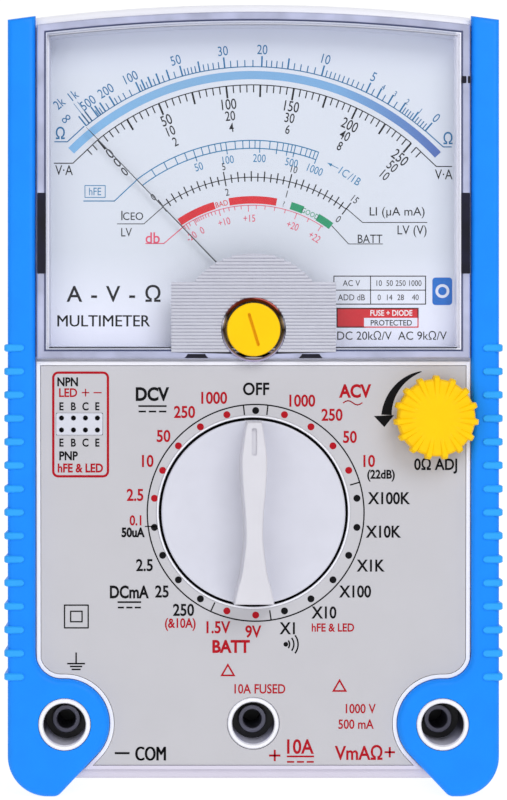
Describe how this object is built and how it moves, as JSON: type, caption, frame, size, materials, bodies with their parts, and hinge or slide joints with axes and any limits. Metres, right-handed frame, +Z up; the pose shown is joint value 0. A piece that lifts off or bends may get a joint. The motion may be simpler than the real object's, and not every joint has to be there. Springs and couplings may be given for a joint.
{
  "type": "analog multimeter",
  "caption": "Hand-held pointer multimeter with a clear arched meter window, rotary range knob, zero-ohm knob, plug jacks, rubber side grips and a rear battery cover.",
  "frame": {"origin": "bottom centre of the bounding box, level with the two lower grip lobes it stands on", "axes": "+Z up, the dial faces -Y, +X is to the right of someone reading the dial"},
  "size_m": [0.1056, 0.044, 0.1683],
  "materials": {
    "white_case": "fine satin moulded",
    "blue_rubber": "satin",
    "grey_label": "matt printed film",
    "clear_lens": "clear moulded acrylic",
    "fuse_glass": "clear",
    "dial_white": "matt printed",
    "aluminium": "die cast",
    "brass": "plain",
    "copper": "enamelled copper winding",
    "steel": "nickel plated",
    "board_green": "solder mask",
    "pale_plastic": "moulded",
    "black_parts": "moulded",
    "battery_wrap": "shrink wrap",
    "yellow_plastic": "moulded"
  },
  "bodies": {
    "housing": {"front_case": "white_case", "rear_case": "white_case", "left_grip": "blue_rubber", "right_grip": "blue_rubber", "panel_label": "grey_label", "meter_lens": "clear_lens", "dial_plate": "dial_white", "movement_frame": "aluminium", "front_bridge": "brass", "core_magnet": "steel", "core_holder": "brass", "yoke_ring": "steel", "front_jewel_screw": "brass", "rear_jewel_screw": "brass", "front_hairspring": "brass", "rear_hairspring": "brass", "circuit_board": "board_green", "transistor_socket": "pale_plastic", "zero_ohm_pot": "black_parts", "buzzer": "black_parts", "fuse": "fuse_glass", "fuse_clip_left": "brass", "fuse_clip_right": "brass", "com_jack_shroud": "white_case", "com_jack_contact": "steel", "ten_amp_jack_shroud": "white_case", "ten_amp_jack_contact": "steel", "volt_ohm_jack_shroud": "white_case", "volt_ohm_jack_contact": "steel", "aa_battery_left": "battery_wrap", "aa_battery_right": "battery_wrap", "nine_volt_battery": "black_parts", "nine_volt_snap": "black_parts", "battery_spring_left": "steel", "battery_spring_right": "steel", "battery_plate_left": "steel", "battery_plate_right": "steel", "case_screw_lower_left": "steel", "case_screw_lower_right": "steel", "case_screw_upper_left": "steel", "case_screw_upper_right": "steel"},
    "range_selector": {"selector_knob": "white_case", "switch_rotor": "pale_plastic", "switch_wiper": "brass", "detent_ball": "steel", "detent_spring": "steel"},
    "zero_ohm_adjuster": {"zero_ohm_knob": "yellow_plastic", "zero_ohm_shaft": "steel"},
    "zero_adjuster": {"zero_adjust_cap": "yellow_plastic", "zero_lever": "brass"},
    "pointer_assembly": {"pointer": "black_parts", "moving_coil": "copper", "front_pivot": "steel", "rear_pivot": "steel", "tail_weight": "brass", "side_weight": "brass"},
    "battery_door": {"battery_cover": "white_case", "cover_screw": "steel"}
  },
  "joints": [
    {"name": "range_selector_turn", "type": "hinge", "parent": "housing", "child": "range_selector", "pos_m": [0, -0.0141, 0.06025], "axis": [0, 1, 0], "continuous": true},
    {"name": "zero_ohm_turn", "type": "hinge", "parent": "housing", "child": "zero_ohm_adjuster", "pos_m": [0.0384, -0.0182, 0.08035], "axis": [0, 1, 0], "range_deg": [-140, 140]},
    {"name": "zero_adjust_turn", "type": "hinge", "parent": "housing", "child": "zero_adjuster", "pos_m": [0, -0.0157, 0.09895], "axis": [0, 1, 0], "range_deg": [-25, 25]},
    {"name": "pointer_swing", "type": "hinge", "parent": "housing", "child": "pointer_assembly", "pos_m": [0, 0, 0.09895], "axis": [0, 1, 0], "range_deg": [-2, 84], "stiffness_Nm_per_rad": 0.002},
    {"name": "battery_cover_slide", "type": "slide", "parent": "housing", "child": "battery_door", "axis": [0, 1, 0], "range_m": [0, 0.03]}
  ]
}
